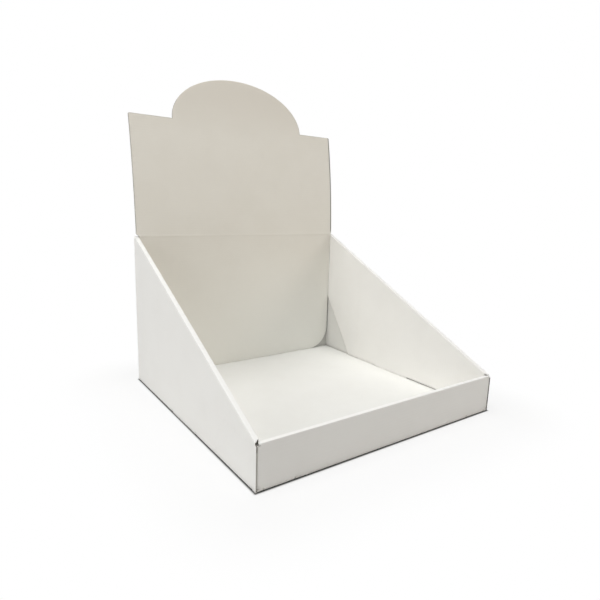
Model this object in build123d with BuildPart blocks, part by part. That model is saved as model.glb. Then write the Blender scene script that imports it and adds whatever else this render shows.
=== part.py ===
from build123d import *
import os
from math import atan, cos, radians, sin

os.makedirs("parts", exist_ok=True)

# A counter display tray of white corrugated board: a tray folded from one die-cut sheet, and the
# creased header card that stands in it against the back wall.
# Millimetres. The origin is the middle of the base on the ground, the front faces -Y, and +Z is up.

# Board and folds
board = 1.5              # thickness of the board
layer_gap = 0.2          # air between layers that lie on each other
fold_inside = 0.9        # radius inside a square fold
roll_inside = 0.3        # radius inside each of the two tight folds of a rolled-over edge
roll_corner = 1.0        # radius outside them, where the board is pressed sharp
fold_relief = 3.0        # length left unfolded where a fold ends at a corner
die_cut = 0.4            # width of a cut between a foot and the fold beside it
mitre_slit = 1.5         # opening between two rolled edges where they meet

# Tray, outside
tray_width = 300.0
tray_depth = 292.0
rear_height = 179.0      # side walls at the back
lip_height = 41.0        # front lip
lip_hollow = 1.3         # air between the two layers of the lip

# Tabs that lock the inner panels in slots of the base
side_slot = 60.0
lip_slot = 225.0
tab_play = 0.5           # play at each end of a tab
slot_play = 0.2          # play between a tab's inner face and its slot

# Ears folded back from the lip and forward from the back wall, inside the side walls
lip_ear_reach = 70.0
rear_ear_reach = 76.0
ear_lift = 0.7           # height of the ears over the base
ear_drop = 0.6           # depth of the ears under the rolled edge
ear_corner = 8.0         # radius of their free corners

# Lower edge of the inner side panels: slant-cut at the rear, and raised ahead of the tab
inner_cut_height = 82.0
inner_cut_length = 56.0
inner_foot_rise = 0.9

# Header card
card_play = 0.15         # play at each side of the card's lower part
card_seat_gap = 0.1      # air between the card's lower edge, the base and the back fold
card_corner = 32.0       # radius of its lower corners
crease_drop = 0.6        # depth of the crease, and of the back wall's top, under the side walls
header_setback = 2.7     # how far the header stays inside the outer side panels
header_step = 2.6        # height over which the card widens at the crease
shoulder_height = 142.0  # crease to shoulder, along the board
shoulder_corner = 1.5    # radius of the shoulders' outer corners
arch_width = 189.0
arch_rise = 61.0         # shoulder to the top of the arch, along the board
header_lean = 2.2        # degrees that the card turns back at its crease
header_curl = 1000.0     # radius of the header's slight curl

# Worked out from these
half_width = tray_width / 2
half_depth = tray_depth / 2
fold_outside = fold_inside + board
roll_outside = roll_inside + board
slope_angle = atan((rear_height - lip_height) / tray_depth)

outer_x = half_width - board              # inner face of the outer side panel
ear_x = outer_x - layer_gap - board       # inner face of the ears
inner_x = ear_x - layer_gap - board       # inner face of the inner side panel
flat_x = half_width - fold_outside        # where the base's side folds begin
ear_fold_x = outer_x - layer_gap - fold_outside
hinge_x = ear_fold_x - fold_relief        # end of the base's front and back folds

front_y = -half_depth
lip_panel_y = front_y + board + lip_hollow
lip_y = lip_panel_y + board               # the lip's face towards the goods
flat_y = half_depth - fold_outside        # where the base's front and back folds begin
back_y = half_depth - board               # front face of the back wall
card_y = back_y - fold_inside - card_seat_gap - board    # the header card's front face
card_bottom = board + card_seat_gap

panel_bottom = board + layer_gap          # lower edge of the inner panels
ear_bottom = board + ear_lift
foot_top = ear_bottom + fold_relief - die_cut            # top of the feet under the ears' folds
lip_top = lip_height - roll_outside       # where the lip's rolled edge begins
lip_ear_top = lip_top - layer_gap
crease_z = rear_height - crease_drop

side_folds = [(fold_relief - flat_y, -side_slot / 2), (side_slot / 2, flat_y - fold_relief)]


def under_slant(y, drop):
    """Height at y of the line that lies `drop` under the slanted edge, measured square to it."""
    return lip_height + ((y - front_y) * sin(slope_angle) - drop) / cos(slope_angle)


def quarter_fold(corner, arm, axis, length):
    """Board bent a quarter turn, from the direction `arm` to the one square to it and to `axis`."""
    with BuildSketch(Plane(origin=corner, x_dir=arm, z_dir=axis)) as ring:
        Circle(fold_outside)
        Circle(fold_inside, mode=Mode.SUBTRACT)
        Rectangle(fold_outside, fold_outside, align=Align.MIN, mode=Mode.INTERSECT)
    extrude(ring.sketch, amount=length)


def rolled_edge(plane, width, length):
    """Upper half of a flattened tube: two tight folds, pressed sharp, and the strip between them."""
    with BuildSketch(plane) as section:
        RectangleRounded(width, 2 * roll_outside, roll_corner)
        SlotOverall(width - 2 * board, 2 * roll_inside, mode=Mode.SUBTRACT)
        Rectangle(width, roll_outside, align=(Align.CENTER, Align.MIN), mode=Mode.INTERSECT)
    extrude(section.sketch, amount=length)


def fold_notch(start, end):
    """Clears a panel's lower edge where a fold takes its place, with a die cut at both ends."""
    with Locations(((start + end) / 2, 0)):
        Rectangle(
            end - start + 2 * die_cut, fold_outside, align=(Align.CENTER, Align.MIN), mode=Mode.SUBTRACT
        )


# Rolled edges of the right half, each cut to its side of the mitre at the front corner
mitre = Plane(origin=(half_width, front_y, 0), z_dir=(lip_y - front_y, half_width - inner_x, 0))

with BuildPart() as side_roll:
    run = Vector(0, -cos(slope_angle), -sin(slope_angle))
    start = (
        (half_width + inner_x) / 2,
        half_depth + fold_outside,
        under_slant(half_depth + fold_outside, roll_outside),
    )
    rolled_edge(
        Plane(origin=start, x_dir=(1, 0, 0), z_dir=run),
        half_width - inner_x,
        (tray_depth + 2 * fold_outside) / cos(slope_angle),
    )
    split(bisect_by=Plane(origin=(0, half_depth, 0), z_dir=(0, 1, 0)), keep=Keep.BOTTOM)
    split(bisect_by=mitre.offset(mitre_slit / 2), keep=Keep.TOP)

with BuildPart() as lip_roll:
    rolled_edge(
        Plane(origin=(0, (front_y + lip_y) / 2, lip_top), x_dir=(0, 1, 0), z_dir=(1, 0, 0)),
        lip_y - front_y,
        ear_x + board,
    )
    split(bisect_by=mitre.offset(-mitre_slit / 2), keep=Keep.BOTTOM)

# Tray: the right half of the folded sheet, mirrored to the left
with BuildPart() as tray:
    # base, with the slots for the side tab and the lip tab
    with BuildSketch(Plane.XY):
        Rectangle(flat_x, 2 * flat_y, align=(Align.MIN, Align.CENTER))
        with Locations((flat_x, 0)):
            Rectangle(
                flat_x - inner_x + slot_play, side_slot, align=(Align.MAX, Align.CENTER), mode=Mode.SUBTRACT
            )
        with Locations((0, -flat_y)):
            Rectangle(lip_slot / 2, lip_y + flat_y + slot_play, align=Align.MIN, mode=Mode.SUBTRACT)
    extrude(amount=board)

    # folds from the base to the side wall, the lip and the back wall
    for fold_start, fold_end in side_folds:
        quarter_fold((flat_x, fold_start, fold_outside), (1, 0, 0), (0, 1, 0), fold_end - fold_start)
    quarter_fold((lip_slot / 2, -flat_y, fold_outside), (0, -1, 0), (1, 0, 0), hinge_x - lip_slot / 2)
    quarter_fold((0, flat_y, fold_outside), (0, 0, -1), (1, 0, 0), hinge_x)

    # outer side panel, standing on its feet between the folds
    with BuildSketch(Plane.YZ.offset(outer_x)):
        with BuildLine():
            Polyline(
                (front_y, 0),
                (half_depth, 0),
                (half_depth, under_slant(half_depth, roll_outside)),
                (front_y, under_slant(front_y, roll_outside)),
                close=True,
            )
        make_face()
        for fold_start, fold_end in side_folds:
            fold_notch(fold_start, fold_end)
    extrude(amount=board)

    # rolled edge, and the inner side panel with its tab
    add(side_roll.part)
    with BuildSketch(Plane.YZ.offset(inner_x)):
        with BuildLine():
            Polyline(
                (lip_y + layer_gap, panel_bottom + inner_foot_rise),
                (tab_play - side_slot / 2, panel_bottom + inner_foot_rise),
                (tab_play - side_slot / 2, panel_bottom),
                (flat_y - inner_cut_length, panel_bottom),
                (flat_y, panel_bottom + inner_cut_height),
                (flat_y, under_slant(flat_y, roll_outside)),
                (lip_y + layer_gap, under_slant(lip_y + layer_gap, roll_outside)),
                close=True,
            )
        make_face()
        with Locations((0, panel_bottom)):
            Rectangle(side_slot - 2 * tab_play, panel_bottom - layer_gap, align=(Align.CENTER, Align.MAX))
    extrude(amount=board)

    # outer panel of the lip with a foot at the corner, its rolled edge, and the inner panel with its tab
    with BuildSketch(Plane.XZ.offset(half_depth - board)):
        Rectangle(ear_fold_x, lip_top, align=Align.MIN)
        Rectangle(ear_x + board, foot_top, align=Align.MIN)
        fold_notch(lip_slot / 2, hinge_x)
    extrude(amount=board)
    add(lip_roll.part)
    with BuildSketch(Plane.XZ.offset(-lip_y)):
        with Locations((0, panel_bottom)):
            Rectangle(ear_x - layer_gap, lip_top - panel_bottom, align=Align.MIN)
            Rectangle(lip_slot / 2 - tab_play, panel_bottom - layer_gap, align=(Align.MIN, Align.MAX))
    extrude(amount=board)

    # ear folded back from the lip into the side wall
    quarter_fold(
        (ear_fold_x, -flat_y, ear_bottom + fold_relief),
        (0, -1, 0),
        (0, 0, 1),
        lip_ear_top - ear_bottom - fold_relief,
    )
    with BuildSketch(Plane.YZ.offset(ear_x)) as lip_ear:
        with BuildLine():
            Polyline(
                (-flat_y, ear_bottom + fold_relief),
                (fold_relief - flat_y, ear_bottom),
                (front_y + lip_ear_reach, ear_bottom),
                (front_y + lip_ear_reach, lip_ear_top),
                (-flat_y, lip_ear_top),
                close=True,
            )
        make_face()
        fillet(lip_ear.vertices().group_by(Axis.X)[-1], ear_corner)
    extrude(amount=board)

    # back wall, as high as the crease between the side walls, with a foot that closes the lower corner
    ear_top = under_slant(flat_y, roll_outside + ear_drop)
    with BuildSketch(Plane.XZ.offset(-half_depth)):
        Rectangle(inner_x - layer_gap, crease_z, align=Align.MIN)
        Rectangle(ear_fold_x, ear_top, align=Align.MIN)
        Rectangle(ear_x + board, foot_top, align=Align.MIN)
        fold_notch(-hinge_x, hinge_x)
    extrude(amount=board)

    # ear folded forward from the back wall, under the slanted edge
    quarter_fold(
        (ear_fold_x, flat_y, ear_bottom + fold_relief),
        (1, 0, 0),
        (0, 0, 1),
        ear_top - ear_bottom - fold_relief,
    )
    with BuildSketch(Plane.YZ.offset(ear_x)) as rear_ear:
        ear_end = half_depth - rear_ear_reach
        with BuildLine():
            Polyline(
                (flat_y, ear_bottom + fold_relief),
                (flat_y, ear_top),
                (ear_end, under_slant(ear_end, roll_outside + ear_drop)),
                (ear_end, ear_bottom),
                (flat_y - fold_relief, ear_bottom),
                close=True,
            )
        make_face()
        fillet(rear_ear.vertices().group_by(Axis.X)[0], ear_corner)
    extrude(amount=board)

    mirror(about=Plane.YZ)

tray.part.label = "tray"
export_step(tray.part, "parts/tray.step")


def risen(length):
    """Height gained by a length of the header's curled board, from the crease up."""
    lean = radians(header_lean)
    return header_curl * (sin(lean + length / header_curl) - sin(lean))


# Header card: a strip of board in side view, cut to its outline in front view
with BuildPart() as header_card:
    card_half = inner_x - card_play
    header_half = half_width - header_setback
    with BuildSketch(Plane.YZ.offset(-header_half)):
        with BuildLine():
            lean = radians(header_lean)
            Line((card_y, card_bottom), (card_y, crease_z))
            curl_degrees = (shoulder_height + arch_rise + board) / radians(header_curl)
            JernArc((card_y, crease_z), (sin(lean), cos(lean)), header_curl, -curl_degrees)
            offset(amount=board, side=Side.RIGHT)
        make_face()
    extrude(amount=2 * header_half)

    with BuildSketch(Plane.XZ) as outline:
        shoulder_z = crease_z + risen(shoulder_height)
        arch_top = crease_z + risen(shoulder_height + arch_rise)
        with BuildLine():
            Line((0, card_bottom), (card_half - card_corner, card_bottom))
            CenterArc((card_half - card_corner, card_bottom + card_corner), card_corner, -90, 90)
            Polyline(
                (card_half, card_bottom + card_corner),
                (card_half, crease_z),
                (header_half, crease_z + header_step),
                (header_half, shoulder_z),
                (arch_width / 2, shoulder_z),
            )
            EllipticalCenterArc((0, shoulder_z), arch_width / 2, arch_top - shoulder_z, arc_size=90)
            mirror(about=Plane.YZ)
        make_face()
        shoulders = outline.vertices().filter_by_position(Axis.Y, shoulder_z, shoulder_z)
        fillet(shoulders.sort_by(Axis.X)[0] + shoulders.sort_by(Axis.X)[-1], shoulder_corner)
    extrude(amount=tray_depth, both=True, mode=Mode.INTERSECT)

header_card.part.label = "header_card"
export_step(header_card.part, "parts/header_card.step")
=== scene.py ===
import bpy
import numpy as np
from mathutils import Matrix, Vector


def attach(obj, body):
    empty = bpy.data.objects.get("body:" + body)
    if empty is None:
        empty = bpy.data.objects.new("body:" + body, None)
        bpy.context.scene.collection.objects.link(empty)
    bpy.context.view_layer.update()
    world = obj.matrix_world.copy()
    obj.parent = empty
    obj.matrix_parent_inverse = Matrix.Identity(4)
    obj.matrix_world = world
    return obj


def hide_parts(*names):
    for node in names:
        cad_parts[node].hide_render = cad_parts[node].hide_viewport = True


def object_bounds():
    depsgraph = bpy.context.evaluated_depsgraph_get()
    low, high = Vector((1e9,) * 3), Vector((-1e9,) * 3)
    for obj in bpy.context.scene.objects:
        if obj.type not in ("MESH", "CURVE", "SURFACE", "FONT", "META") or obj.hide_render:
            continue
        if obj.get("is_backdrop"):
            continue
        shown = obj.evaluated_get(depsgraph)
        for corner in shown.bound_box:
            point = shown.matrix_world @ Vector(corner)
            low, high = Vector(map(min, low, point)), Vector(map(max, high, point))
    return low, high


# A shelf-ready counter tray of white corrugated board, with its creased header card.
# Sizes below are in millimetres, in the CAD's frame: the middle of the base on the ground, front at -Y.
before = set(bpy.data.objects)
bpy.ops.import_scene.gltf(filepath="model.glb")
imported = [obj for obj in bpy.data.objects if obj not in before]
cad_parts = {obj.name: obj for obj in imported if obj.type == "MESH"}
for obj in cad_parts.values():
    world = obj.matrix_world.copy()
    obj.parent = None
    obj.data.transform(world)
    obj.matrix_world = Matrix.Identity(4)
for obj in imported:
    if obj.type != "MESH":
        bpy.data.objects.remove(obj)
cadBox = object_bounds()
mm = 0.001
print("frame: CAD nodes", ", ".join(sorted(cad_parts)))

# What every piece of board shares. Flutes run along the flat sheet's first coordinate.
board = {
    "thickness": 1.5,
    "layerGap": 0.2,        # air between layers that lie on each other
    "foldInside": 0.9,      # radius inside a square fold
    "rollInside": 0.3,      # radius inside the two tight folds of a rolled edge
    "foldSteps": 9,
    "crushDepth": 0.26,     # how much thinner the die leaves the board at a cut
    "crushReach": 0.9,      # how far that goes in from the cut
    # section of a cut from the outer liner to the fluting: share of the thickness from the middle, and
    # millimetres out of the cut. The liners stand a little proud of the fluting between them.
    "cutSection": ((0.5, -0.10), (0.44, -0.03), (0.38, 0.0), (0.32, 0.0), (0.26, -0.12)),
    "sharpFrom": 52.0,      # degrees between faces from which their edge is shaded sharp
    "sameLine": 0.001,      # lines of the sheet that are nearer than this are one
    "mergeWithin": 0.002,
}
halfBoard = board["thickness"] / 2
foldRadius = board["foldInside"] + halfBoard                  # of the board's middle, in a square fold
foldOutside = board["foldInside"] + board["thickness"]
rollRadius = board["rollInside"] + halfBoard                  # of the board's middle, in a tight fold
rollOutside = board["rollInside"] + board["thickness"]
foldLength = foldRadius * np.pi / 2
turn = np.linspace(0, np.pi / 2, board["foldSteps"])          # angles through a fold


# Positions through all the stops: even steps between neighbours, none longer than step.
def evenStops(stops, step):
    stops = np.unique(np.round(np.asarray(stops, float), 4))
    counts = np.maximum(1, np.ceil(np.diff(stops) / step - 1e-6)).astype(int)
    runs = [np.linspace(a, b, n, endpoint=False) for a, b, n in zip(stops[:-1], stops[1:], counts)]
    return np.concatenate(runs + [stops[-1:]])


# The part of positions that lies between two ends, both kept.
def between(positions, low, high):
    return positions[(positions > low - board["sameLine"]) & (positions < high + board["sameLine"])]


# A fold pressed sharp, by angle: how far a square with rounded corners lies outside the round fold. The
# square's sides are at outside / cosine or outside / sine from the fold's middle, and its corner is an arc.
def pressedFold(outside, corner):
    high, low = np.maximum(np.sin(turn), np.cos(turn)), np.minimum(np.sin(turn), np.cos(turn))
    square = outside - corner
    rounded = square * (high + low) + np.sqrt(np.maximum(corner ** 2 - (square * (high - low)) ** 2, 0))
    return np.where(outside * low < square * high, outside / high, rounded) - outside


# A patch of the sheet's middle surface on a grid: x, y, z, the flat sheet's own two coordinates, how far
# its outer face stands proud, and 1 where painted light whitens the top of a rolled edge, each a function
# of row and column. A quad joins cell (i, j) to (i+1, j), (i+1, j+1), (i, j+1).
def patch(x, y, z, along, across, proud=0, rollLight=0, keep=None, turned=False):
    grid = np.stack(np.broadcast_arrays(x, y, z, along, across, proud, rollLight), axis=-1).astype(float)
    index = np.arange(grid.shape[0] * grid.shape[1]).reshape(grid.shape[:2])
    quads = np.stack([index[:-1, :-1], index[1:, :-1], index[1:, 1:], index[:-1, 1:]], axis=-1)
    quads = quads[keep] if keep is not None else quads.reshape(-1, 4)
    return grid.reshape(-1, 7), quads[:, ::-1] if turned else quads


# The patches and their mirror images in x = 0, sewn where their corners meet: equal rounded places
# share one vertex. A quad with two equal corners is turned until they come last, as a triangle.
def sewn(patches):
    points = np.concatenate([p for p, _ in patches])
    starts = np.cumsum([0] + [len(p) for p, _ in patches[:-1]])
    quads = np.concatenate([q + s for (_, q), s in zip(patches, starts)])
    quads = np.concatenate([quads, quads[:, ::-1] + len(points)])
    points = np.concatenate([points, points * [-1, 1, 1, -1, 1, 1, 1]])
    keys = np.round(points[:, :3] / board["mergeWithin"]).astype(np.int64)
    _, first, shared = np.unique(keys, axis=0, return_index=True, return_inverse=True)
    points, quads = points[first], shared.reshape(-1)[quads]
    for corner in range(4):
        twin = quads[:, corner] == quads[:, (corner + 1) % 4]
        quads[twin] = np.roll(quads[twin], 2 - corner, axis=1)
    distinct = (quads[:, 0] != quads[:, 1]) & (quads[:, 1] != quads[:, 2]) & (quads[:, 0] != quads[:, 3])
    quads = quads[distinct]
    used, packed = np.unique(quads, return_inverse=True)
    return points[used], packed.reshape(-1, 4)


# Unit vectors along the last axis.
def unit(vectors):
    return vectors / np.maximum(np.linalg.norm(vectors, axis=-1, keepdims=True), 1e-12)


# Sum of the rows of values that fall on each vertex.
def gathered(count, index, values):
    total = np.zeros((count, values.shape[1]))
    np.add.at(total, index, values)
    return total


# Normals: at each vertex, the sum of its quads' diagonal cross products, made a unit.
def sheetNormals(points, quads):
    corners = points[quads]
    faces = np.cross(corners[:, 2] - corners[:, 0], corners[:, 3] - corners[:, 1])
    return unit(gathered(len(points), quads.T.ravel(), np.tile(faces, (4, 1))))


# Edges that only one quad has, in that quad's direction: those whose reverse is in no quad.
def cutEdges(quads, count):
    edges = np.stack([quads, np.roll(quads, -1, axis=1)], axis=-1).reshape(-1, 2)
    edges = edges[edges[:, 0] != edges[:, 1]]
    forward = edges[:, 0].astype(np.int64) * count + edges[:, 1]
    backward = edges[:, 1].astype(np.int64) * count + edges[:, 0]
    return edges[~np.isin(forward, backward)]


# Distance from each point to the nearest of the segments a-b, a block of points at a time.
def distanceTo(points, a, b, block=400):
    run = b - a
    square = np.maximum((run * run).sum(-1), 1e-12)
    nearest = []
    for start in range(0, len(points), block):
        gap = points[start:start + block, None] - a
        share = np.clip((gap * run).sum(-1) / square, 0, 1)
        nearest.append(np.linalg.norm(gap - share[..., None] * run, axis=-1).min(1))
    return np.concatenate(nearest)


# A new object in the scene.
def newObject(name, data):
    thing = bpy.data.objects.new(name, data)
    bpy.context.scene.collection.objects.link(thing)
    return thing


# The board round a middle surface: each face lies half the thickness away along the normal, less half the
# crush near a cut, which is crushDepth * exp(-(distance / crushReach)^2), and a rim closes the cuts. The
# outer face also stands proud where a fold is pressed sharp. The rows of sheet are as in a patch, and
# the materials are those of the outer liner, the inner liner and the cuts.
def boardMesh(name, sheet, quads, materials, nodes):
    points, proud, rollLight, sheet = sheet[:, :3], sheet[:, 5], sheet[:, 6], sheet[:, 3:5]
    count = len(points)
    normals = sheetNormals(points, quads)
    rim = cutEdges(quads, count)
    distance = distanceTo(points, points[rim[:, 0]], points[rim[:, 1]])
    half = halfBoard - board["crushDepth"] / 2 * np.exp(-(distance / board["crushReach"]) ** 2)
    outward = np.cross(points[rim[:, 1]] - points[rim[:, 0]], normals[rim[:, 0]] + normals[rim[:, 1]])
    outward = gathered(count, rim[:, 0], unit(outward)) + gathered(count, rim[:, 1], unit(outward))
    cut = np.unique(rim)
    outward = unit(outward[cut])
    side = np.array(board["cutSection"])
    section = np.concatenate([side, side[::-1] * [-1, 1]])
    lift = 2 * half[cut] * section[:, :1] + proud[cut] * (section[:, :1] + 0.5)
    places = points[cut] + normals[cut] * lift[..., None] + outward * section[:, 1, None, None]
    upper, lower = points + normals * (half + proud)[:, None], points - normals * half[:, None]
    upper[cut], lower[cut] = places[0], places[-1]
    vertices = np.concatenate([upper, lower, places[1:-1].reshape(-1, 3)])

    # vertex numbers of the section's rows: the faces' own at both ends, new ones in between
    order = np.full(count, -1)
    order[cut] = np.arange(len(cut))
    inner = 2 * count + np.arange((len(section) - 2) * len(cut)).reshape(-1, len(cut))
    rows = np.concatenate([cut[None], inner, (cut + count)[None]])
    a, b = order[rim[:, 0]], order[rim[:, 1]]
    rimQuads = np.stack([rows[:-1, b], rows[:-1, a], rows[1:, a], rows[1:, b]], -1).reshape(-1, 4)
    allQuads = np.concatenate([quads, quads[:, ::-1] + count, rimQuads])

    # flat coordinates on the faces; on the rim, place across the thickness and across the flutes
    level = (section[:, 0] + 0.5) * board["thickness"]
    step = np.arange(len(section) - 1)
    rimUv = np.empty((len(section) - 1, len(rim), 4, 2))
    rimUv[..., :2, 0], rimUv[..., 2:, 0] = level[step][:, None, None], level[step + 1][:, None, None]
    rimUv[..., 0, 1] = rimUv[..., 3, 1] = sheet[rim[:, 1], 1]
    rimUv[..., 1, 1] = rimUv[..., 2, 1] = sheet[rim[:, 0], 1]
    cornerUv = np.concatenate([sheet[quads], sheet[quads[:, ::-1]], rimUv.reshape(-1, 4, 2)])
    reach = np.concatenate([distance, distance, np.zeros(inner.size)])
    reach[cut] = reach[cut + count] = 0
    white = np.concatenate([rollLight, np.zeros(count + inner.size)])

    mesh = bpy.data.meshes.new(name)
    triangle = allQuads[:, 2] == allQuads[:, 3]
    reverse = allQuads[:, 0] == allQuads[:, 1]       # a turned triangle has its equal corners first
    allQuads[reverse] = np.roll(allQuads[reverse], 2, axis=1)
    cornerUv[reverse] = np.roll(cornerUv[reverse], 2, axis=1)
    triangle |= reverse
    kept = np.ones(allQuads.shape, bool)
    kept[triangle, 3] = False
    sizes = kept.sum(1)
    mesh.vertices.add(len(vertices))
    mesh.vertices.foreach_set("co", (vertices * mm).astype(np.float32).ravel())
    mesh.loops.add(int(sizes.sum()))
    mesh.loops.foreach_set("vertex_index", allQuads[kept].astype(np.int32))
    mesh.polygons.add(len(allQuads))
    mesh.polygons.foreach_set("loop_start", (np.cumsum(sizes) - sizes).astype(np.int32))
    slots = np.repeat(np.arange(3, dtype=np.int32), [len(quads), len(quads), len(rimQuads)])
    mesh.update(calc_edges=True)
    mesh.polygons.foreach_set("material_index", slots)
    flat = (cornerUv[kept] * mm).astype(np.float32).ravel()
    mesh.uv_layers.new(name="boardFlat").uv.foreach_set("vector", flat)
    for key, values in (("cutDistance", reach * mm), ("rollTopLight", white)):
        values = values.astype(np.float32)
        mesh.attributes.new(key, "FLOAT", "POINT").data.foreach_set("value", values)
    for material in materials:
        mesh.materials.append(material)
    mesh.set_sharp_from_angle(angle=np.radians(board["sharpFrom"]))
    mesh.validate()
    piece = newObject(name, mesh)
    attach(piece, "root")
    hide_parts(*nodes)
    print(f"{name}: {len(vertices)} vertices, {len(allQuads)} faces, {len(rim)} cut edges")


# Materials

# Shared by the materials. Scales are per metre, lengths in metres, and a range of four goes from its
# first two values to its last two.
paper = {
    "linerScales": (26.0, 1100.0), "cutScales": (300.0, 2600.0),    # of the clouds and the fibres
    "fibreStretch": (0.35, 1.0, 1.0), "cloudHeight": 0.5,
    "cloudTone": (0.35, 0.68, 0.0, 0.55), "fibreTone": 0.25,
    "flutePitch": 0.0032, "fluteAreas": 14.0, "fluteRange": (0.35, 0.7, 0.25, 1.0), "fluteHeight": 0.35,
    "scuffWidth": 6.0, "scuffAreas": 220.0, "scuffRange": (0.45, 0.75, 0.0, 1.0), "scuffTone": 0.08,
    # painted light: a whiter tone on the tops of the rolled edges, and how strongly it comes in
    "paintedRollLight": (0.945, 0.940, 0.920), "paintedRollLightShare": 0.8,    # over a rolled edge
    "creaseHeights": (0.178, 0.186),
    # added to a finish's roughness: at no fibres, by the fibres, and by the line along a cut
    "linerDull": (-0.06, 0.14), "cutDull": (-0.10, 0.20), "lineDull": 0.2,
    "linerBump": (0.35, 0.00006), "cutBump": (0.5, 0.0001),         # strength and height
    # on a cut, in shares of its thickness: the wave's height, and where its hollows and the liners start
    "waveHeight": 0.3, "hollowFrom": (0.05, 0.12), "linerFrom": (0.26, 0.33), "cutFibreTone": 0.3,
}

# Each material's own values. lineShares is how strong the line along a cut is, under and over the card's
# crease. A placed tone is one that the photo shows in some places only: its ranges along x, y and z, and
# over the distance to the cut, are multiplied to give its share.
finishes = {
    "trayOutside": {
        "white": (0.882, 0.872, 0.842), "shade": (0.860, 0.848, 0.816), "line": (0.44, 0.42, 0.39),
        "roughness": 0.56, "specular": 0.32, "fluteDepth": 0.012,
        "lineReach": 0.0008, "lineShares": (0.22, 0.22),
    },
    "trayInside": {
        "white": (0.862, 0.862, 0.832), "shade": (0.838, 0.836, 0.804), "line": (0.46, 0.44, 0.41),
        "roughness": 0.60, "specular": 0.28, "fluteDepth": 0.016,
        "lineReach": 0.0008, "lineShares": (0.22, 0.22),
        "placed": (
            # painted shade on the back wall, which the card hides but for its lower corners
            ((0.46, 0.44, 0.41), {"y": (0.144, 0.1443, 0.0, 0.5)}),
            # painted shade on the ears between the side walls' layers, right and left
            ((0.46, 0.44, 0.41), {"x": (0.1464, 0.1467, 0.0, 0.25), "y": (0.144, 0.1443, 1.0, 0.0)}),
            ((0.46, 0.44, 0.41), {"x": (-0.1467, -0.1464, 0.25, 0.0), "y": (0.144, 0.1443, 1.0, 0.0)}),
        ),
    },
    "headerCard": {
        "white": (0.915, 0.880, 0.797), "shade": (0.887, 0.849, 0.763), "line": (0.34, 0.32, 0.29),
        "roughness": 0.52, "specular": 0.34, "fluteDepth": 0.010,
        # the line along a cut is faint under the crease and strong over it, where it is painted shade along
        # the card's outline as well as wear
        "lineReach": 0.0012, "lineShares": (0.04, 0.80),
        "placed": (
            # painted shade along the header's right-hand edge, over the crease
            ((0.13, 0.12, 0.11), {
                "x": (0.1435, 0.1445, 0.0, 1.0), "z": (0.178, 0.186, 0.0, 1.0),
                "cut": (0.0012, 0.0024, 0.95, 0.0),
            }),
            # painted light towards the foot: paler, and most so at its right
            ((0.965, 0.96, 0.905), {"x": (-0.15, 0.10, 0.6, 1.0), "z": (0.02, 0.195, 1.0, 0.0)}),
            # painted shade towards the arch: darker
            ((0.81, 0.765, 0.68), {"z": (0.29, 0.37, 0.0, 1.0)}),
        ),
    },
    "trayCut": {
        # the tray's cuts are darker than the card's: painted shade in the slits at the mitres and in the
        # hollows
        "liner": (0.72, 0.70, 0.66), "medium": (0.20, 0.185, 0.165), "hollow": (0.04, 0.035, 0.03),
        "roughness": 0.85, "specular": 0.15,
        "placed": (
            # painted shade on the right front corner's upright cut: dark
            ((0.04, 0.035, 0.03), {"x": (0.1400, 0.1405, 0.0, 0.95), "y": (-0.131, -0.130, 1.0, 0.0)}),
            # painted light on the low cuts on the left, of which the front corner's shows: paler
            ((0.72, 0.70, 0.66), {"x": (-0.1405, -0.1400, 0.55, 0.0), "z": (0.0325, 0.0355, 1.0, 0.0)}),
            # painted light on the mitre's cut at the right front corner: white
            ((0.945, 0.940, 0.920), {
                "x": (0.1400, 0.1405, 0.0, 1.0), "y": (-0.131, -0.130, 1.0, 0.0),
                "z": (0.0385, 0.0392, 0.0, 1.0),
            }),
        ),
    },
    "cardCut": {
        "liner": (0.66, 0.64, 0.60), "medium": (0.42, 0.39, 0.35), "hollow": (0.10, 0.09, 0.08),
        "roughness": 0.85, "specular": 0.15,
    },
}


# Sockets of a node fed from numbers, colours or other sockets.
def feed(tree, node, pairs):
    for key, value in pairs:
        socket = node.inputs[key]
        if isinstance(value, bpy.types.NodeSocket):
            tree.links.new(value, socket)
        else:
            socket.default_value = (*value, 1) if socket.type == "RGBA" else value
    return node


# A new shader node with its settings made and its sockets fed.
def addNode(tree, kind, pairs=(), **settings):
    node = tree.nodes.new("ShaderNode" + kind)
    for key, value in settings.items():
        setattr(node, key, value)
    return feed(tree, node, pairs)


def maths(tree, operation, *inputs, clamp=False):
    node = addNode(tree, "Math", enumerate(inputs), operation=operation, use_clamp=clamp)
    return node.outputs[0]


def times(tree, a, b):
    return maths(tree, "MULTIPLY", a, b)


# A value carried from one range to another, smoothly at both ends.
def ranged(tree, value, low, high, toLow=0.0, toHigh=1.0):
    pairs = zip(("Value", "From Min", "From Max", "To Min", "To Max"), (value, low, high, toLow, toHigh))
    return addNode(tree, "MapRange", pairs, interpolation_type="SMOOTHSTEP").outputs["Result"]


# Noise at a scale per metre.
def noise(tree, vector, scale, detail=3.0, roughness=0.5):
    pairs = zip(("Vector", "Scale", "Detail", "Roughness"), (vector, scale, detail, roughness))
    return addNode(tree, "TexNoise", pairs).outputs["Fac"]


# Two colours mixed by a share.
def mixed(tree, share, a, b, blend="MIX"):
    pairs = ((0, share), (6, a), (7, b))
    return addNode(tree, "Mix", pairs, data_type="RGBA", blend_type=blend).outputs[2]


# The three coordinates of a vector.
def coordinates(tree, vector):
    return addNode(tree, "SeparateXYZ", [(0, vector)]).outputs


# The normal that a height gives.
def bumped(tree, height, strength, depth):
    pairs = (("Height", height), ("Strength", strength), ("Distance", depth))
    return addNode(tree, "Bump", pairs).outputs[0]


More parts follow.
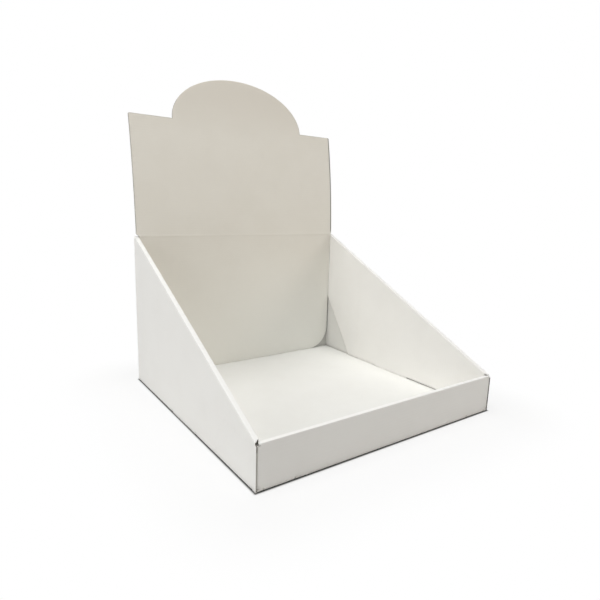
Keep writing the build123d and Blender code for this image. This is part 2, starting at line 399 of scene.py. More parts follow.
# A node group with named inputs of the kinds given and outputs that are numbers, and its end nodes.
def newGroup(name, inputs, outputs):
    tree = bpy.data.node_groups.new(name, "ShaderNodeTree")
    sockets = [(key, "INPUT", kind) for key, kind in inputs.items()]
    for key, side, kind in sockets + [(key, "OUTPUT", "Float") for key in outputs]:
        tree.interface.new_socket(key, in_out=side, socket_type="NodeSocket" + kind)
    return tree, tree.nodes.new("NodeGroupInput").outputs, tree.nodes.new("NodeGroupOutput")


# Paper: soft clouds where the fibres lie thicker, short fibres, and the height of the fibres.
def paperGroup():
    inputs = {"Vector": "Vector", "Cloud Scale": "Float", "Fibre Scale": "Float"}
    tree, given, out = newGroup("paperGrain", inputs, ("Cloud", "Fibre", "Height"))
    cloud = noise(tree, given["Vector"], given["Cloud Scale"], detail=4.0, roughness=0.6)
    pairs = ((0, given["Vector"]), (1, paper["fibreStretch"]))
    stretched = addNode(tree, "VectorMath", pairs, operation="MULTIPLY").outputs[0]
    fibre = noise(tree, stretched, given["Fibre Scale"], detail=2.0, roughness=0.6)
    height = maths(tree, "ADD", fibre, times(tree, cloud, paper["cloudHeight"]))
    feed(tree, out, (("Cloud", cloud), ("Fibre", fibre), ("Height", height)))
    return tree


# Flutes that show through the liner: a cosine of the place across them, stronger in some areas.
def fluteGroup():
    inputs = {"Flat Place": "Vector", "Vector": "Vector", "Pitch": "Float"}
    tree, given, out = newGroup("fluteLines", inputs, ("Wave",))
    across = coordinates(tree, given["Flat Place"])[1]
    phase = times(tree, maths(tree, "DIVIDE", across, given["Pitch"]), 2 * np.pi)
    areas = noise(tree, given["Vector"], paper["fluteAreas"], detail=2.0)
    wave = times(tree, maths(tree, "COSINE", phase), ranged(tree, areas, *paper["fluteRange"]))
    feed(tree, out, [("Wave", wave)])
    return tree


# Marks by a cut: a line that is 1 at the cut and 0 past its reach, which is die wear and also painted
# shade along the board's edge, and wider scuffs from handling that noise breaks up.
def wearAndShadeGroup():
    inputs = {"Cut Distance": "Float", "Vector": "Vector", "Reach": "Float"}
    tree, given, out = newGroup("cutWearAndShade", inputs, ("Line", "Scuff"))
    line = ranged(tree, given["Cut Distance"], 0.0, given["Reach"], 1.0, 0.0)
    reach = times(tree, given["Reach"], paper["scuffWidth"])
    wide = ranged(tree, given["Cut Distance"], 0.0, reach, 1.0, 0.0)
    broken = ranged(tree, noise(tree, given["Vector"], paper["scuffAreas"]), *paper["scuffRange"])
    feed(tree, out, (("Line", line), ("Scuff", times(tree, wide, broken))))
    return tree


# Share of a placed tone: along each axis it goes smoothly from First at Start to Last at End, and the
# three are multiplied.
def placeGroup():
    inputs = dict.fromkeys(("Vector", "Start", "End", "First", "Last"), "Vector")
    tree, given, out = newGroup("placeShare", inputs, ("Share",))
    settings = {"data_type": "FLOAT_VECTOR", "interpolation_type": "SMOOTHSTEP"}
    pairs = zip(range(6, 11), given)       # the node's vector sockets come after its number sockets
    x, y, z = coordinates(tree, addNode(tree, "MapRange", pairs, **settings).outputs["Vector"])
    feed(tree, out, [("Share", times(tree, times(tree, x, y), z))])
    return tree


groups = {"paper": paperGroup(), "flute": fluteGroup(), "wearAndShade": wearAndShadeGroup(), "place": placeGroup()}


# A group placed in a material, fed from sockets and numbers.
def useGroup(tree, key, **inputs):
    pairs = ((name.replace("_", " "), value) for name, value in inputs.items())
    return addNode(tree, "Group", pairs, node_tree=groups[key]).outputs


# A material, its tree, its shader and its Object coordinates.
def newMaterial(name, roughness, specular):
    material = bpy.data.materials.new(name)
    material.use_nodes = True
    tree = material.node_tree
    pairs = (("Roughness", roughness), ("Specular IOR Level", specular))
    shader = feed(tree, tree.nodes["Principled BSDF"], pairs)
    return material, tree, shader, addNode(tree, "TexCoord").outputs["Object"]


# A finish's placed tones, mixed into a colour one after the other.
def placedTones(tree, colour, finish, place, cut=None):
    everywhere = (0, 1, 1, 1)
    for tone, ranges in finish.get("placed", ()):
        start, end, first, last = zip(*(ranges.get(axis, everywhere) for axis in "xyz"))
        share = useGroup(tree, "place", Vector=place, Start=start, End=end, First=first, Last=last)["Share"]
        if "cut" in ranges:
            share = times(tree, share, ranged(tree, cut, *ranges["cut"]))
        colour = mixed(tree, share, colour, tone)
    return colour


# White-lined board: clouded paper, fine fibres, faint flutes, painted light that whitens the tops of the
# rolled edges, and a duller line along the cuts, which is wear and painted shade, and scuffs.
def linerMaterial(name):
    finish = finishes[name]
    material, tree, shader, place = newMaterial(name, finish["roughness"], finish["specular"])
    flat = addNode(tree, "UVMap", uv_map="boardFlat").outputs[0]
    cut, rollLight = (
        addNode(tree, "Attribute", attribute_name=key).outputs["Fac"]
        for key in ("cutDistance", "rollTopLight")
    )
    clouds, fibres = paper["linerScales"]
    grain = useGroup(tree, "paper", Vector=place, Cloud_Scale=clouds, Fibre_Scale=fibres)
    flute = useGroup(tree, "flute", Flat_Place=flat, Vector=place, Pitch=paper["flutePitch"])
    wearAndShade = useGroup(tree, "wearAndShade", Cut_Distance=cut, Vector=place, Reach=finish["lineReach"])
    tone = ranged(tree, grain["Cloud"], *paper["cloudTone"])
    tone = maths(tree, "ADD", tone, times(tree, grain["Fibre"], paper["fibreTone"]), clamp=True)
    colour = mixed(tree, tone, finish["white"], finish["shade"])
    ribs = times(tree, maths(tree, "SUBTRACT", 1.0, flute["Wave"]), finish["fluteDepth"])
    colour = mixed(tree, ribs, colour, finish["line"])
    # painted light: the tops of the rolled edges whitened
    colour = mixed(tree, times(tree, rollLight, paper["paintedRollLightShare"]), colour, paper["paintedRollLight"])
    colour = mixed(tree, times(tree, wearAndShade["Scuff"], paper["scuffTone"]), colour, finish["line"])
    # the line along a cut: wear, and over the card's crease also painted shade along the card's outline
    height = coordinates(tree, place)[2]
    strength = ranged(tree, height, *paper["creaseHeights"], *finish["lineShares"])
    colour = mixed(tree, times(tree, wearAndShade["Line"], strength), colour, finish["line"])
    colour = placedTones(tree, colour, finish, place, cut)
    bare, fuzz = paper["linerDull"]
    dull = maths(tree, "ADD", finish["roughness"] + bare, times(tree, grain["Fibre"], fuzz))
    dull = maths(tree, "ADD", dull, times(tree, wearAndShade["Line"], paper["lineDull"]))
    relief = maths(tree, "ADD", grain["Height"], times(tree, flute["Wave"], paper["fluteHeight"]))
    normal = bumped(tree, relief, *paper["linerBump"])
    feed(tree, shader, (("Base Color", colour), ("Roughness", dull), ("Normal", normal)))
    return material


# Cut edge: two liners with the fluting's wave between them, and painted shade in the hollows beside the
# wave.
# The wave is at 0.5 + waveHeight * sin(2 pi * place across the flutes / pitch) of the thickness.
def cutMaterial(name):
    finish = finishes[name]
    material, tree, shader, place = newMaterial(name, finish["roughness"], finish["specular"])
    flat = coordinates(tree, addNode(tree, "UVMap", uv_map="boardFlat").outputs[0])
    clouds, fibres = paper["cutScales"]
    grain = useGroup(tree, "paper", Vector=place, Cloud_Scale=clouds, Fibre_Scale=fibres)
    level = maths(tree, "DIVIDE", flat[0], board["thickness"] * mm)
    phase = times(tree, flat[1], 2 * np.pi / paper["flutePitch"])
    wave = maths(tree, "ADD", times(tree, maths(tree, "SINE", phase), paper["waveHeight"]), 0.5)
    offWave, offMiddle = (
        maths(tree, "ABSOLUTE", maths(tree, "SUBTRACT", level, line)) for line in (wave, 0.5)
    )
    colour = mixed(tree, ranged(tree, offWave, *paper["hollowFrom"]), finish["medium"], finish["hollow"])
    colour = mixed(tree, ranged(tree, offMiddle, *paper["linerFrom"]), colour, finish["liner"])
    colour = mixed(tree, times(tree, grain["Fibre"], paper["cutFibreTone"]), colour, finish["medium"])
    colour = placedTones(tree, colour, finish, place)
    bare, fuzz = paper["cutDull"]
    dull = maths(tree, "ADD", finish["roughness"] + bare, times(tree, grain["Fibre"], fuzz))
    normal = bumped(tree, grain["Height"], *paper["cutBump"])
    feed(tree, shader, (("Base Color", colour), ("Roughness", dull), ("Normal", normal)))
    return material


print("materials: node groups", ", ".join(group.name for group in groups.values()))


# The folded tray

tray = {
    "width": 300.0, "depth": 292.0, "rearHeight": 179.0, "lipHeight": 41.0,
    "lipHollow": 1.3,       # air between the lip's two layers
    "foldRelief": 3.0, "dieCut": 0.25, "mitreSlit": 1.8,
    "sideSlot": 60.0, "lipSlot": 225.0, "slotPlay": 0.2, "tabStop": 0.2,
    "lipEarReach": 70.0, "rearEarReach": 76.0, "earCorner": 8.0, "earLift": 0.4, "earDrop": 0.6,
    "footGap": 0.06,        # air under the inner panels
    "innerCutHeight": 82.0, "innerCutLength": 56.0, "innerFootRise": 0.9, "wallTopDrop": 0.6,
    "footSlit": 0.12, "lipFootRise": 0.45,      # cut over the corner feet, air under the lip's feet
    "rollCorner": 0.5, "foldCorner": 1.2,       # radius outside the folds of a rolled edge, and others
    # painted light whitens a roll above these shares of its height
    "rollLightHeights": (0.25, 0.875),            # shares of a roll's height where it turns white
    # how the panels settle: how far they bend inwards, the height at which the bow is full and its power
    # below that, how deep a wall counts from its outside and over what that fades, the base's flat
    # margin, and the height up to which a point is the base's
    "sideBow": 0.12, "lipBow": 0.05, "baseRise": 0.35, "bowHeight": 60.0, "bowPower": 1.5,
    "wallDepth": 9.0, "wallFade": 2.0, "flatMargin": 12.0, "baseTop": 2.0,
    # mesh: spacing, rows beside a cut that shows, and rows up feet, outer sides and rolled strips
    "step": 6.0, "nearCut": (0.45, 1.1, 2.4), "footRows": 3, "sideRows": 28, "stripRows": 4,
    # rows down the inner panels: where the first two are, as shares of a side and millimetres of the lip
    "sideStart": (0.012, 0.04), "innerRows": 26, "lipStart": (0.5, 3.0), "lipInnerRows": 7,
    # lengths in which the lines across a panel turn towards its mitre, its roll's end or its own end
    "sideMitre": 16.0, "lipMitre": 14.0, "rollEnd": 6.0, "innerEnd": 24.0,
}
halfWidth, halfDepth = tray["width"] / 2, tray["depth"] / 2


# The right half of the folded sheet, as patches. Its outer side is the one that faces out of the
# tray's outside walls, so it is also on top of the rolled edges and on the inner panels.
def trayPatches():
    slope = np.arctan((tray["rearHeight"] - tray["lipHeight"]) / tray["depth"])
    sine, cosine = np.sin(slope), np.cos(slope)
    thick, gap, cut = board["thickness"], board["layerGap"], tray["dieCut"]
    flatX, flatY = halfWidth - foldOutside, halfDepth - foldOutside
    sideX = halfWidth - halfBoard                                   # middle of the outer side panel
    earX = halfWidth - thick - gap - halfBoard
    innerX = earX - gap - thick                                     # middle of the inner side panel
    earFoldX = halfWidth - thick - gap - foldOutside
    hingeX = earFoldX - tray["foldRelief"]
    lipY = halfBoard - halfDepth                                    # middle of the lip's outer panel
    lipInnerY = lipY + thick + tray["lipHollow"]
    foot = tray["sideSlot"] / 2 - cut
    tab = tray["lipSlot"] / 2 - cut
    hinge = flatY - tray["foldRelief"]
    slit = tray["mitreSlit"] / 2
    lipTop = tray["lipHeight"] - rollOutside
    panelFoot = thick + tray["footGap"]
    earFoot = thick + tray["earLift"]
    crease = tray["rearHeight"] - tray["wallTopDrop"]
    slotX = innerX - halfBoard - tray["slotPlay"]
    slotY = lipInnerY + halfBoard + tray["slotPlay"]

    # height of the line `drop` under the slanted edge, measured square to it
    def underSlant(y, drop):
        return tray["lipHeight"] + ((y + halfDepth) * sine - drop) / cosine

    # section of a rolled edge: way in from the outer layer, height over its start, length along it,
    # how far its outer face stands proud at the two folds, and 1 where painted light whitens it
    def rolledSection(spacing):
        strip = np.linspace(0, spacing - 2 * rollRadius, tray["stripRows"])[1:-1]
        inward = np.concatenate([
            rollRadius * (1 - np.cos(turn)), rollRadius + strip, spacing - rollRadius * (1 - np.sin(turn)),
        ])
        level = 0 * strip
        height = np.concatenate([rollRadius * np.sin(turn), rollRadius + level, rollRadius * np.cos(turn)])
        length = np.concatenate([[0], np.cumsum(np.hypot(np.diff(inward), np.diff(height)))])
        press = pressedFold(rollOutside, tray["rollCorner"])
        proud = np.concatenate([press, level, press[::-1]])
        low, high = tray["rollLightHeights"]
        rollLight = np.clip((height / rollRadius - low) / (high - low), 0, 1)
        return [values[:, None] for values in (inward, height, length, proud, rollLight)]

    # shared lines of the sheet: along the side walls, and along the lip and the back wall
    near = np.array(tray["nearCut"])
    sideStops = [
        -halfDepth, *(near - halfDepth), -flatY, slotY, -hinge - cut, -hinge, -foot - cut, -foot,
        foot, foot + cut, flatY - tray["innerCutLength"], hinge, hinge + cut,
        *(flatY - near), flatY, *(halfDepth - near), halfDepth,
    ]
    sideY = evenStops(sideStops, tray["step"])
    lipEnd = earX - halfBoard - gap
    frontStops = [0, tab, tab + cut, hingeX, hingeX + cut, slotX, lipEnd, earFoldX, flatX, earX + halfBoard]
    frontX = evenStops(frontStops, tray["step"])
    earStart = foldOutside + tray["footSlit"]
    folded = pressedFold(foldOutside, tray["foldCorner"])[:, None]   # how far its face stands proud
    earEnd = lipTop - tray["footSlit"]
    lipRows = evenStops([foldOutside, earStart, earEnd, lipTop], tray["step"])
    earTop = underSlant(flatY, rollOutside + tray["earDrop"])
    wallRows = evenStops([foldOutside, earStart, earTop, *(crease - near), crease], tray["step"])

    # length along the flat sheet from its middle, over the fold, to a height of a side or an end panel
    def sideLength(z):
        return flatX + foldLength + z - foldOutside

    def endLength(z):
        return flatY + foldLength + z - foldOutside

    patches = []

    def add(*grids, **options):
        patches.append(patch(*grids, **options))

    # heights of a few rows, for feet and tabs
    def footRows(low, high):
        return np.linspace(low, high, tray["footRows"])[:, None]

    # base, less its slots; its outer side faces down
    x, y = between(frontX, 0, flatX)[None], between(sideY, -flatY, flatY)[:, None]
    middleX, middleY = (x[:, 1:] + x[:, :-1]) / 2, (y[1:] + y[:-1]) / 2
    slotted = (abs(middleY) < tray["sideSlot"] / 2) & (middleX > slotX)
    slotted |= (middleY < slotY) & (middleX < tray["lipSlot"] / 2)
    add(x, y, halfBoard, x, y, keep=~slotted)

    # folds up into the side walls, the lip and the back wall
    a = turn[:, None]
    out, z = foldRadius * np.sin(a), foldOutside - foldRadius * np.cos(a)
    for low, high in ((-hinge, -foot - cut), (foot + cut, hinge)):
        y = between(sideY, low, high)[None]
        add(flatX + out, y, z, flatX + foldRadius * a, y, folded, turned=True)
    x = between(frontX, tab + cut, hingeX)[None]
    add(x, -flatY - out, z, x, -flatY - foldRadius * a, folded, turned=True)
    x = between(frontX, 0, hingeX)[None]
    add(x, flatY + out, z, x, flatY + foldRadius * a, folded)

    # outer side panel: straight up from the fold to the slanted line, with feet beside the folds
    y = sideY[None]
    top = underSlant(y, rollOutside)
    share = np.linspace(0, 1, tray["sideRows"])[:, None]
    z = foldOutside + share * (top - foldOutside)
    add(sideX, y, z, sideLength(z), y, turned=True)
    z = footRows(0, foldOutside)
    for low, high in ((-halfDepth, -hinge - cut), (-foot, foot), (hinge + cut, halfDepth)):
        y = between(sideY, low, high)[None]
        add(sideX, y, z, sideLength(z), y, turned=True)

    # rolled edge along the slant, cut on its side of the mitre: way in sets where it starts
    inward, height, length, proud, rollLight = rolledSection(sideX - innerX)
    mitre = np.array([lipInnerY - lipY + thick, sideX - innerX + thick])
    mitre = mitre / np.hypot(*mitre)
    y = between(sideY, -halfDepth, halfDepth)[None]
    fade = np.clip((tray["sideMitre"] - halfDepth - y) / tray["sideMitre"], 0, 1)
    start = (slit + (inward + halfBoard) * mitre[0]) / mitre[1]
    lean = height * sine * (1 - np.clip((y - halfDepth + tray["rollEnd"]) / tray["rollEnd"], 0, 1))
    placeY = y + start * fade - lean * (1 - fade)
    placeY[0] = y[0]
    z = underSlant(placeY + lean * (1 - fade), rollOutside) + height * cosine
    rolledStart = sideLength(underSlant(y, rollOutside))
    add(sideX - inward, placeY, z, rolledStart + length, y, proud, rollLight, turned=True)
    rollEnd = (placeY[-1:], z[-1:], rolledStart + length[-1])

    # inner side panel down to the base, slant-cut at its lower rear corner, with its tab
    endFade = np.clip((y - halfDepth) / tray["innerEnd"] + 1, 0, 1)
    innerY = rollEnd[0] - endFade * (halfDepth - flatY)
    cutRise = np.clip((innerY - flatY + tray["innerCutLength"]) / tray["innerCutLength"], 0, 1)
    bottom = panelFoot + cutRise * tray["innerCutHeight"] + tray["innerFootRise"] * (y < -foot - cut / 2)
    first, second = tray["sideStart"]
    share = np.concatenate([[0, first], np.linspace(second, 1, tray["innerRows"])])[:, None]
    rows = rollEnd[0] + np.clip(share / first, 0, 1) * (innerY - rollEnd[0])
    topZ = underSlant(rows, rollOutside)
    z = topZ + share * (bottom - topZ)
    z[0] = rollEnd[1]
    along = rollEnd[2] + rollEnd[1] - z
    add(innerX, rows, z, along, y, turned=True)
    inTab = abs(y[0]) < foot + board["sameLine"]
    z = footRows(panelFoot, tray["tabStop"])
    tabAlong = (rollEnd[2] + rollEnd[1])[:, inTab] - z
    add(innerX, rows[-1:, inTab], z, tabAlong, y[:, inTab], turned=True)

    # lip: outer panel and its feet, rolled edge, inner panel and its tab
    x, z = frontX[None], lipRows[:, None]
    middleX, middleZ = (x[:, 1:] + x[:, :-1]) / 2, (z[1:] + z[:-1]) / 2
    shown = (middleX < earFoldX) | (middleZ < foldOutside)
    add(x, lipY, z, x, -endLength(z), keep=shown, turned=True)
    z = footRows(tray["lipFootRise"], foldOutside)
    for low, high in ((0, tab), (hingeX + cut, earX + halfBoard)):
        x = between(frontX, low, high)[None]
        add(x, lipY, z, x, -endLength(z), turned=True)
    inward, height, length, proud, rollLight = rolledSection(lipInnerY - lipY)
    x = between(frontX, 0, earFoldX)[None]
    fade = np.clip((x - earFoldX + tray["lipMitre"]) / tray["lipMitre"], 0, 1)
    end = halfWidth - (slit + (inward + halfBoard) * mitre[1]) / mitre[0]
    placeX = x + (np.minimum(end, earX + halfBoard) - earFoldX) * fade
    placeX[0] = x[0]
    across = -endLength(lipTop) - length
    add(placeX, lipY + inward, lipTop + height, x, across, proud, rollLight, turned=True)
    first, second = tray["lipStart"]
    z = np.linspace(lipTop - second, panelFoot, tray["lipInnerRows"])
    z = np.concatenate([[lipTop, lipTop - first], z])[:, None]
    rows = placeX[-1:] + np.clip((lipTop - z) / first, 0, 1) * fade * (lipEnd - placeX[-1:, -1:])
    across = -endLength(lipTop) - length[-1] - (lipTop - z)
    add(rows, lipInnerY, z, x, across, turned=True)
    inTab = x[0] < tab + board["sameLine"]
    z = footRows(panelFoot, tray["tabStop"])
    across = -endLength(lipTop) - length[-1] - (lipTop - z)
    add(rows[-1:, inTab], lipInnerY, z, x[:, inTab], across, turned=True)

    # ear folded off an end panel and back between the side wall's two panels: side is -1 at the lip and 1
    # at the back wall, z its heights at the fold, length its reach from the tray's end, and top gives
    # the height of its upper edge
    def addEar(side, z, length, top):
        z, a = z[:, None], turn[None]
        x, y = earFoldX + foldRadius * np.sin(a), flatY + foldRadius * np.cos(a)
        flat = earFoldX + foldRadius * a
        add(x, side * y, z, flat, side * endLength(z), folded.T, turned=side < 0)
        free = halfDepth - length
        stops = evenStops([free, hinge, flatY], tray["step"])
        corner = free + tray["earCorner"] * (1 - np.sin(turn))
        y = np.unique(np.concatenate([stops[stops > corner[0]], corner]))[::-1][None]
        rounding = cornerRise(y - free, tray["earCorner"])
        relief = (earStart - earFoot) / tray["foldRelief"]
        low = earFoot + np.clip(y - hinge, 0, None) * relief + rounding
        high = top(side * y) - rounding
        rows = low + (z - z[0]) / (z[-1] - z[0]) * (high - low)
        flat = earFoldX + foldLength + flatY - y
        add(earX, side * y, rows, flat, side * endLength(rows), turned=side < 0)

    addEar(-1, between(lipRows, earStart, earEnd), tray["lipEarReach"], lambda y: earEnd)

    # back wall, as high as the crease between the inner panels, with feet out to the side walls
    x, z = frontX[None], wallRows[:, None]
    middleZ = (z[1:] + z[:-1]) / 2
    wall = (middleX < slotX) | ((middleX < earFoldX) & (middleZ < earTop)) | (middleZ < foldOutside)
    add(x, -lipY, z, x, endLength(z), keep=wall)
    x = between(frontX, hingeX + cut, earX + halfBoard)[None]
    z = footRows(0, foldOutside)
    add(x, -lipY, z, x, endLength(z))

    # the rear ear's upper edge runs under the slanted edge
    drop = rollOutside + tray["earDrop"]
    addEar(1, between(wallRows, earStart, earTop), tray["rearEarReach"], lambda y: underSlant(y, drop))
    return patches


# How far a corner of that radius has drawn in, at a distance from the end: r - sqrt(r^2 - (r - d)^2).
def cornerRise(distance, radius):
    inside = np.clip(radius - distance, 0, radius)
    return radius - np.sqrt(radius ** 2 - inside ** 2)


# Board settles as it stands: the side walls bow inwards by a half sine along them and the lip by a squared
# cosine, both fading to nothing at the base, which lifts by a product of two cosines. All layers of a
# wall move together.
def settled(points):
    x, y, z = points.T.copy()
    deep, fade = tray["wallDepth"], tray["wallFade"]
    wall = np.clip((abs(x) - halfWidth + deep) / fade, 0, 1)
    along = np.sin(np.pi * np.clip((y + halfDepth) / tray["depth"], 0, 1))
    up = np.clip(z / tray["bowHeight"], 0, 1) ** tray["bowPower"]
    points[:, 0] -= np.sign(x) * tray["sideBow"] * wall * along * up
    lip = np.clip((deep - halfDepth - y) / fade, 0, 1)
    lipUp = np.clip(z / tray["lipHeight"], 0, 1) ** tray["bowPower"]
    points[:, 1] += tray["lipBow"] * lip * np.cos(np.pi * x / tray["width"]) ** 2 * lipUp * (1 - wall)
    shares = np.array([x, y]) / (np.array([[halfWidth], [halfDepth]]) - tray["flatMargin"])
    flat = np.cos(np.pi * np.clip(shares, -1, 1) / 2).prod(axis=0)
    points[:, 2] += tray["baseRise"] * flat * (z < tray["baseTop"]) * (wall == 0)
    return points


sheet, quads = sewn(trayPatches())
sheet[:, :3] = settled(sheet[:, :3].copy())
trayLiners = [linerMaterial("trayOutside"), linerMaterial("trayInside"), cutMaterial("trayCut")]
boardMesh("folded_tray", sheet, quads, trayLiners, ["tray"])


# The header card

card = {
    "seat": 1.6,                  # height of its lower edge, just over the base
    "halfWidth": 144.95, "headerHalfWidth": 147.3, "stepRise": 2.6,
    "corner": 32.0, "crease": 178.4, "front": 142.0,
    "shoulder": 142.0, "archWidth": 189.0, "archRise": 59.4, "shoulderCorner": 1.5,
    "aside": 1.1,                 # how far the header stands to the left
    "lean": 2.2, "curl": 1000.0,  # degrees back at the crease, and the radius above it
    "creaseBead": 0.22, "creaseReach": 1.2,
    "tiltReach": 4.0,             # height over the crease in which the board's slant comes in
    # mesh: spacing, rows about the crease, and columns and rows of the arch, its last rows as shares of
    # its height; and the heights between which the columns turn upright
    "step": 6.0, "creaseRows": (-3.5, -2, -1.2, -0.7, -0.35, 0, 0.35, 0.7, 1.2, 2, 3.2),
    "archColumns": 31, "archRows": 12, "archEnd": (0.92, 0.96, 0.982, 0.993, 1),
    "uprightHeights": (60.0, 120.0),
}


# The right half of the card. Its front view is x = w(z) * share for the rows up to the shoulder, where
# w is the outline's half width, and an arch of height h(x) = rise * sqrt(1 - (x / half)^2) above it.
# Its side view is upright to the crease, and above that an arc: the angle back is lean + length / curl.
def cardPatches():
    lean, curl = np.radians(card["lean"]), card["curl"]
    crease, widest = card["crease"], card["headerHalfWidth"]

    # length along the board over the crease, to and from height
    def lengthAt(height):
        return curl * (np.arcsin(np.clip(np.sin(lean) + np.maximum(height, 0) / curl, -1, 1)) - lean)

    def heightAt(length):
        return curl * (np.sin(lean + length / curl) - np.sin(lean))

    shoulder = crease + heightAt(card["shoulder"])
    rise = crease + heightAt(card["shoulder"] + card["archRise"]) - shoulder

    # the board's middle at places of the front view, with the bead along the crease
    def surface(x, z):
        over = z - crease
        length = lengthAt(over)
        angle = lean + length / curl
        back = np.where(over > 0, curl * (np.cos(lean) - np.cos(angle)), 0)
        bead = card["creaseBead"] * np.exp(-(over / card["creaseReach"]) ** 2)
        tilt = np.where(over > 0, angle, 0)
        y = card["front"] + back - bead + halfBoard * np.cos(tilt)
        height = z - halfBoard * np.sin(tilt) * np.clip(over / card["tiltReach"], 0, 1)
        across = np.where(over > 0, crease + length, z)
        return patch(x, y, height, x, across)

    near = np.array(tray["nearCut"])
    half = card["archWidth"] / 2
    archX = half * np.sin(np.linspace(0, np.pi / 2, card["archColumns"]))
    wingX = evenStops([half, *(widest - near), widest], card["step"])
    x = np.concatenate([archX, wingX[1:]])[None]
    corner = card["seat"] + card["corner"] * (1 - np.cos(turn))
    creaseRows = crease + np.array(card["creaseRows"])
    upper = evenStops([crease + card["stepRise"], *(shoulder - near), shoulder], card["step"])
    topRows = shoulder - card["shoulderCorner"] * (1 - np.sin(turn[::2]))
    lowerRows = evenStops([corner[-1], creaseRows[0]], card["step"])
    z = np.unique(np.round(np.concatenate([corner, lowerRows, creaseRows, upper, topRows]), 4))[:, None]
    stepShare = np.clip((z - crease) / card["stepRise"], 0, 1)
    width = card["halfWidth"] + (widest - card["halfWidth"]) * stepShare
    width = width - cornerRise(z - card["seat"], card["corner"])
    width = width - cornerRise(shoulder - z, card["shoulderCorner"])
    scaled = x * width / widest
    wing = np.where(x > half, half + (x - half) * (width - half) / (widest - half), x)
    low, high = card["uprightHeights"]      # columns follow the outline below, and the arch above
    grow = np.clip((z - low) / (high - low), 0, 1)
    grid = scaled * (1 - grow) + wing * grow
    last = card["archEnd"]
    share = np.concatenate([np.linspace(0, last[0], card["archRows"]), last[1:]])[:, None]
    archZ = shoulder + share * rise * np.sqrt(np.clip(1 - (archX[None] / half) ** 2, 0, 1))
    return [surface(grid, z), surface(archX[None], archZ)]


sheet, quads = sewn(cardPatches())
sheet[:, 0] -= card["aside"] * np.clip((sheet[:, 2] - card["crease"]) / card["stepRise"], 0, 1)
cardLiner = linerMaterial("headerCard")
cardLiners = [cardLiner, cardLiner, cutMaterial("cardCut")]
boardMesh("header_board", sheet, quads, cardLiners, ["header_card"])


# Floor, light and camera

studio = {
    "floorSize": 30.0, "floorDrop": 0.0002, "floorRoughness": 0.9, "floorGrain": 60.0,
    "floorTones": ((0.80, 0.80, 0.79), (0.784, 0.784, 0.7742)),
    # share of white that the camera sees on the floor, by metres from the tray's foot
    "floorWhite": ((0.0, 0.0), (0.003, 0.80), (0.10, 1.0)),
    # painted shadow: the floor darker right beside the foot
    "paintedShadowTone": 0.14, "paintedShadowReach": 0.0024,        # darker floor right beside the foot
    "skyTone": (1.0, 1.0, 1.0), "skyLight": 0.03,
    # softboxes: place, aim and size in metres, power in watts, colour
    "lamps": {
        "overhead": ((-0.6, 0.2, 4.0), (0, 0, 0.1), 2.8, 110.0, (1.0, 1.0, 1.0)),
        "left": ((-1.9, -0.1, 1.0), (0, 0, 0.1), 1.2, 16.3, (1.0, 1.0, 1.0)),
        "right": ((2.0, -0.6, 1.0), (0, 0, 0.1), 1.2, 4.0, (1.0, 0.97, 0.93)),
        "lowFront": ((0.9, -1.4, 0.3), (0, 0, 0.1), 0.8, 5.8, (1.0, 0.94, 0.87)),
        "boom": ((-0.25, -0.25, 1.0), (0, 0, 0.05), 0.5, 1.0, (1.0, 1.0, 1.0)),
    },
    "lampUp": (0, 0.02, 1),                             # off the vertical, for a lamp that looks down
}


# 1 for a ray that shows the background itself: the camera's, and those of gloss and glass.
def seenDirectly(tree):
    path = addNode(tree, "LightPath").outputs
    seen = maths(tree, "MAXIMUM", path["Is Camera Ray"], path["Is Glossy Ray"])
    return maths(tree, "MAXIMUM", seen, path["Is Transmission Ray"])


# Two shaders mixed into a tree's output node.
def joinShaders(tree, output, share, first, second):
    pairs = enumerate((share, first.outputs[0], second.outputs[0]))
    feed(tree, tree.nodes[output], [("Surface", addNode(tree, "MixShader", pairs).outputs[0])])


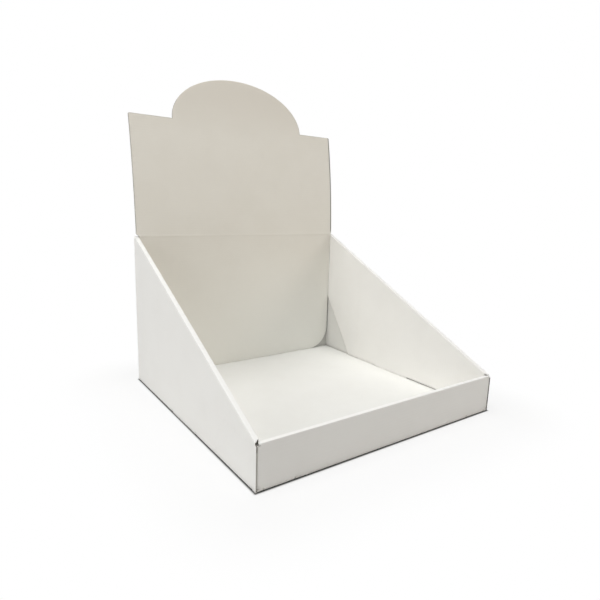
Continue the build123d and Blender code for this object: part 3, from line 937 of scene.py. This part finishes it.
# A flat floor whose camera colour is pulled most of the way to white, so that only shadow shows, with a
# painted shadow right beside the tray's foot. The way to the tray's foot is that to a rectangle: the root
# of max(|x| - w, 0)^2 + max(|y| - d, 0)^2.
def makeFloor():
    half = studio["floorSize"] / 2
    corners = [(x * half, y * half, -studio["floorDrop"]) for x, y in ((-1, -1), (1, -1), (1, 1), (-1, 1))]
    mesh = bpy.data.meshes.new("floor")
    mesh.from_pydata(corners, [], [(0, 1, 2, 3)])
    material, tree, shader, place = newMaterial("floorPaper", studio["floorRoughness"], 0.0)
    tone = mixed(tree, noise(tree, place, studio["floorGrain"]), *studio["floorTones"])
    beside = [
        maths(tree, "MAXIMUM", maths(tree, "SUBTRACT", maths(tree, "ABSOLUTE", axis), side * mm), 0.0)
        for axis, side in zip(coordinates(tree, place), (halfWidth, halfDepth))
    ]
    away = maths(tree, "SQRT", maths(tree, "ADD", *(times(tree, way, way) for way in beside)))
    # painted shadow right beside the foot
    paintedShadow = ranged(tree, away, 0.0, studio["paintedShadowReach"], studio["paintedShadowTone"], 1.0)
    feed(tree, shader, [("Base Color", mixed(tree, 1.0, tone, paintedShadow, "MULTIPLY"))])
    (atFoot, low), (near, middle), (far, high) = studio["floorWhite"]
    rise = ranged(tree, away, near, far, 0.0, high - middle)
    share = maths(tree, "ADD", ranged(tree, away, atFoot, near, low, middle), rise)
    white = addNode(tree, "Emission", [("Color", (1, 1, 1))])
    joinShaders(tree, "Material Output", times(tree, seenDirectly(tree), share), shader, white)
    mesh.materials.append(material)
    floor = newObject("floor", mesh)
    floor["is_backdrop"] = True


# A plain sky: even light on the object, and white where the camera sees it.
def makeSky():
    world = bpy.data.worlds.new("studioSky")
    bpy.context.scene.world = world
    world.use_nodes = True
    tree = world.node_tree
    pairs = (("Color", studio["skyTone"]), ("Strength", studio["skyLight"]))
    light = feed(tree, tree.nodes["Background"], pairs)
    white = addNode(tree, "Background", (("Color", (1, 1, 1)), ("Strength", 1.0)))
    joinShaders(tree, "World Output", seenDirectly(tree), light, white)


# A matrix whose -Z looks along forward, with its Y as near to up as that allows.
def facing(place, forward, up):
    forward, up = unit(np.array(forward, float)), np.array(up, float)
    right = unit(np.cross(forward, up))
    up = np.cross(right, forward)
    rows = np.column_stack([right, up, -forward, place])
    return Matrix([*map(list, rows), [0, 0, 0, 1]])


def makeLamps():
    for name, (place, aim, size, power, tone) in studio["lamps"].items():
        lamp = bpy.data.lights.new(name, "AREA")
        lamp.shape, lamp.size = "SQUARE", size
        lamp.energy, lamp.color = power, tone
        newObject(name, lamp).matrix_world = facing(place, np.subtract(aim, place), studio["lampUp"])


camera = {
    "place": (-322.95, -440.27, 221.22), "yaw": 35.467, "pitch": 11.143, "roll": 1.790,
    "lens": 29.104, "sensor": 36.0, "clip": (0.02, 60.0),
}


# The camera looks right of +Y by yaw and down by pitch, then turns about its own line by roll.
def makeCamera():
    yaw, pitch, roll = np.radians([camera["yaw"], camera["pitch"], camera["roll"]])
    forward = np.array([np.sin(yaw) * np.cos(pitch), np.cos(yaw) * np.cos(pitch), -np.sin(pitch)])
    right = np.array([np.cos(yaw), -np.sin(yaw), 0])
    up = np.cross(right, forward)
    data = bpy.data.cameras.new("photoCamera")
    data.lens, data.sensor_width = camera["lens"], camera["sensor"]
    data.clip_start, data.clip_end = camera["clip"]
    rig = newObject("photoCamera", data)
    up = np.cos(roll) * up - np.sin(roll) * right
    rig.matrix_world = facing(np.array(camera["place"]) * mm, forward, up)
    bpy.context.scene.camera = rig


makeFloor()
makeSky()
makeLamps()
makeCamera()
bpy.context.scene.view_settings.view_transform = "Standard"
print("studio: floor, sky, lamps and camera")

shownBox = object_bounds()
for key, box in (("CAD", cadBox), ("shown", shownBox)):
    print("size:", key, [round(value, 4) for corner in box for value in corner])
